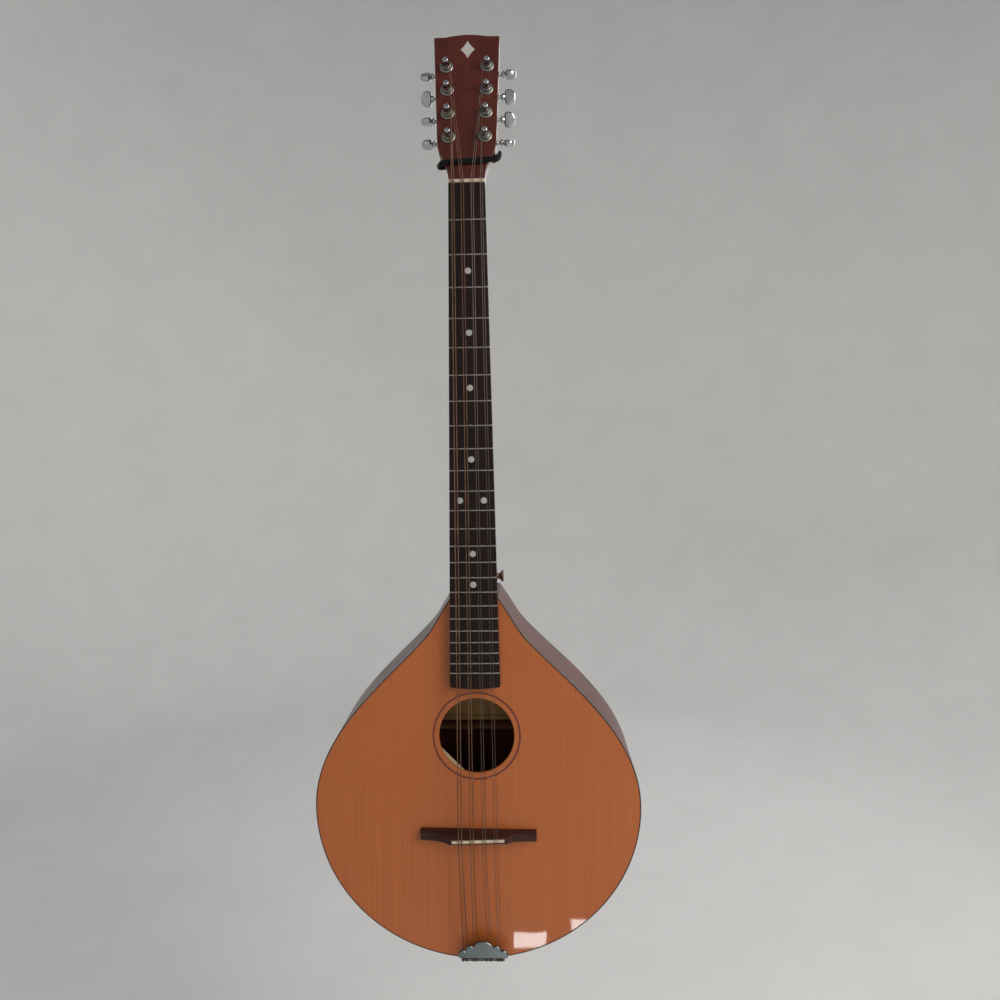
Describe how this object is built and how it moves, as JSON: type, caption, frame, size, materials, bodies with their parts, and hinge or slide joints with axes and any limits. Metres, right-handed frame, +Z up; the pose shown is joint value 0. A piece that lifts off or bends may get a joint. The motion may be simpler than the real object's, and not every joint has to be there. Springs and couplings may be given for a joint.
{
  "type": "bouzouki",
  "caption": "Flat-backed bouzouki: teardrop body with round sound hole, long fretted neck, floating bridge, lobed tailpiece, doubled strings and geared tuners on a tilted head.",
  "frame": {"origin": "at the nut's front edge, on the centre line of the neck, level with the outer face of the soundboard: the throat, where a cord or yoke holds it", "axes": "+Z up the neck towards the head, +Y from the soundboard to the back, +X to the treble side"},
  "size_m": [0.3292, 0.1033, 0.9613],
  "materials": {
    "spruce": "gloss lacquer over straight fine grain",
    "side_wood": "gloss lacquer",
    "mahogany": "satin lacquer",
    "rosewood": "oiled, open pored",
    "brace_wood": "bare planed wood",
    "bone": "polished bone",
    "paper": "matt paper",
    "chrome": "polished plate",
    "satin_metal": "satin cast nickel",
    "steel": "drawn plain steel",
    "bronze": "fine wound bronze",
    "cord": "matt braided black cord"
  },
  "bodies": {
    "instrument": {"soundboard": "spruce", "back": "side_wood", "bass_side": "side_wood", "treble_side": "side_wood", "neck_block": "mahogany", "tail_block": "mahogany", "top_bracing": "brace_wood", "back_bracing": "brace_wood", "label": "paper", "neck": "mahogany", "truss_rod": "steel", "fingerboard": "rosewood", "nut": "bone", "bridge": "rosewood", "saddle": "bone", "tailpiece": "satin_metal", "end_pin": "chrome", "strap_button": "chrome", "hanging_loop": "cord", "head_veneer": "mahogany", "string_bass_1": "bronze", "string_bass_2": "bronze", "string_second_1": "bronze", "string_second_2": "bronze", "string_third_1": "steel", "string_third_2": "steel", "string_treble_1": "steel", "string_treble_2": "steel", "bass_tuner_1_housing": "chrome", "bass_tuner_1_bushing": "chrome", "bass_tuner_2_housing": "chrome", "bass_tuner_2_bushing": "chrome", "bass_tuner_3_housing": "chrome", "bass_tuner_3_bushing": "chrome", "bass_tuner_4_housing": "chrome", "bass_tuner_4_bushing": "chrome", "treble_tuner_1_housing": "chrome", "treble_tuner_1_bushing": "chrome", "treble_tuner_2_housing": "chrome", "treble_tuner_2_bushing": "chrome", "treble_tuner_3_housing": "chrome", "treble_tuner_3_bushing": "chrome", "treble_tuner_4_housing": "chrome", "treble_tuner_4_bushing": "chrome"},
    "bass_tuner_1_knob": {"bass_tuner_1_knob": "chrome"},
    "bass_tuner_1_post": {"bass_tuner_1_post": "chrome"},
    "bass_tuner_2_knob": {"bass_tuner_2_knob": "chrome"},
    "bass_tuner_2_post": {"bass_tuner_2_post": "chrome"},
    "bass_tuner_3_knob": {"bass_tuner_3_knob": "chrome"},
    "bass_tuner_3_post": {"bass_tuner_3_post": "chrome"},
    "bass_tuner_4_knob": {"bass_tuner_4_knob": "chrome"},
    "bass_tuner_4_post": {"bass_tuner_4_post": "chrome"},
    "treble_tuner_1_knob": {"treble_tuner_1_knob": "chrome"},
    "treble_tuner_1_post": {"treble_tuner_1_post": "chrome"},
    "treble_tuner_2_knob": {"treble_tuner_2_knob": "chrome"},
    "treble_tuner_2_post": {"treble_tuner_2_post": "chrome"},
    "treble_tuner_3_knob": {"treble_tuner_3_knob": "chrome"},
    "treble_tuner_3_post": {"treble_tuner_3_post": "chrome"},
    "treble_tuner_4_knob": {"treble_tuner_4_knob": "chrome"},
    "treble_tuner_4_post": {"treble_tuner_4_post": "chrome"}
  },
  "joints": [
    {"name": "bass_tuner_1_knob_turn", "type": "hinge", "parent": "instrument", "child": "bass_tuner_1_knob", "pos_m": [-0.0185, 0.02805, 0.05112], "axis": [-1, 0, 0], "continuous": true},
    {"name": "bass_tuner_1_post_turn", "type": "hinge", "parent": "instrument", "child": "bass_tuner_1_post", "pos_m": [-0.0185, 0.00605, 0.0507], "axis": [0, -0.9728, 0.2317], "continuous": true},
    {"name": "bass_tuner_2_knob_turn", "type": "hinge", "parent": "instrument", "child": "bass_tuner_2_knob", "pos_m": [-0.01937, 0.03431, 0.07738], "axis": [-1, 0, 0], "continuous": true},
    {"name": "bass_tuner_2_post_turn", "type": "hinge", "parent": "instrument", "child": "bass_tuner_2_post", "pos_m": [-0.01937, 0.01231, 0.07697], "axis": [0, -0.9728, 0.2317], "continuous": true},
    {"name": "bass_tuner_3_knob_turn", "type": "hinge", "parent": "instrument", "child": "bass_tuner_3_knob", "pos_m": [-0.02023, 0.04056, 0.10365], "axis": [-1, 0, 0], "continuous": true},
    {"name": "bass_tuner_3_post_turn", "type": "hinge", "parent": "instrument", "child": "bass_tuner_3_post", "pos_m": [-0.02023, 0.01857, 0.10323], "axis": [0, -0.9728, 0.2317], "continuous": true},
    {"name": "bass_tuner_4_knob_turn", "type": "hinge", "parent": "instrument", "child": "bass_tuner_4_knob", "pos_m": [-0.0211, 0.04682, 0.12991], "axis": [-1, 0, 0], "continuous": true},
    {"name": "bass_tuner_4_post_turn", "type": "hinge", "parent": "instrument", "child": "bass_tuner_4_post", "pos_m": [-0.0211, 0.02483, 0.1295], "axis": [0, -0.9728, 0.2317], "continuous": true},
    {"name": "treble_tuner_1_knob_turn", "type": "hinge", "parent": "instrument", "child": "treble_tuner_1_knob", "pos_m": [0.0185, 0.02805, 0.05112], "axis": [1, 0, 0], "continuous": true},
    {"name": "treble_tuner_1_post_turn", "type": "hinge", "parent": "instrument", "child": "treble_tuner_1_post", "pos_m": [0.0185, 0.00605, 0.0507], "axis": [0, -0.9728, 0.2317], "continuous": true},
    {"name": "treble_tuner_2_knob_turn", "type": "hinge", "parent": "instrument", "child": "treble_tuner_2_knob", "pos_m": [0.01937, 0.03431, 0.07738], "axis": [1, 0, 0], "continuous": true},
    {"name": "treble_tuner_2_post_turn", "type": "hinge", "parent": "instrument", "child": "treble_tuner_2_post", "pos_m": [0.01937, 0.01231, 0.07697], "axis": [0, -0.9728, 0.2317], "continuous": true},
    {"name": "treble_tuner_3_knob_turn", "type": "hinge", "parent": "instrument", "child": "treble_tuner_3_knob", "pos_m": [0.02023, 0.04056, 0.10365], "axis": [1, 0, 0], "continuous": true},
    {"name": "treble_tuner_3_post_turn", "type": "hinge", "parent": "instrument", "child": "treble_tuner_3_post", "pos_m": [0.02023, 0.01857, 0.10323], "axis": [0, -0.9728, 0.2317], "continuous": true},
    {"name": "treble_tuner_4_knob_turn", "type": "hinge", "parent": "instrument", "child": "treble_tuner_4_knob", "pos_m": [0.0211, 0.04682, 0.12991], "axis": [1, 0, 0], "continuous": true},
    {"name": "treble_tuner_4_post_turn", "type": "hinge", "parent": "instrument", "child": "treble_tuner_4_post", "pos_m": [0.0211, 0.02483, 0.1295], "axis": [0, -0.9728, 0.2317], "continuous": true}
  ],
  "couplings": [
    {"joint": "bass_tuner_1_post_turn", "follows": "bass_tuner_1_knob_turn", "ratio": -0.071429},
    {"joint": "bass_tuner_2_post_turn", "follows": "bass_tuner_2_knob_turn", "ratio": -0.071429},
    {"joint": "bass_tuner_3_post_turn", "follows": "bass_tuner_3_knob_turn", "ratio": -0.071429},
    {"joint": "bass_tuner_4_post_turn", "follows": "bass_tuner_4_knob_turn", "ratio": -0.071429},
    {"joint": "treble_tuner_1_post_turn", "follows": "treble_tuner_1_knob_turn", "ratio": 0.071429},
    {"joint": "treble_tuner_2_post_turn", "follows": "treble_tuner_2_knob_turn", "ratio": 0.071429},
    {"joint": "treble_tuner_3_post_turn", "follows": "treble_tuner_3_knob_turn", "ratio": 0.071429},
    {"joint": "treble_tuner_4_post_turn", "follows": "treble_tuner_4_knob_turn", "ratio": 0.071429}
  ]
}
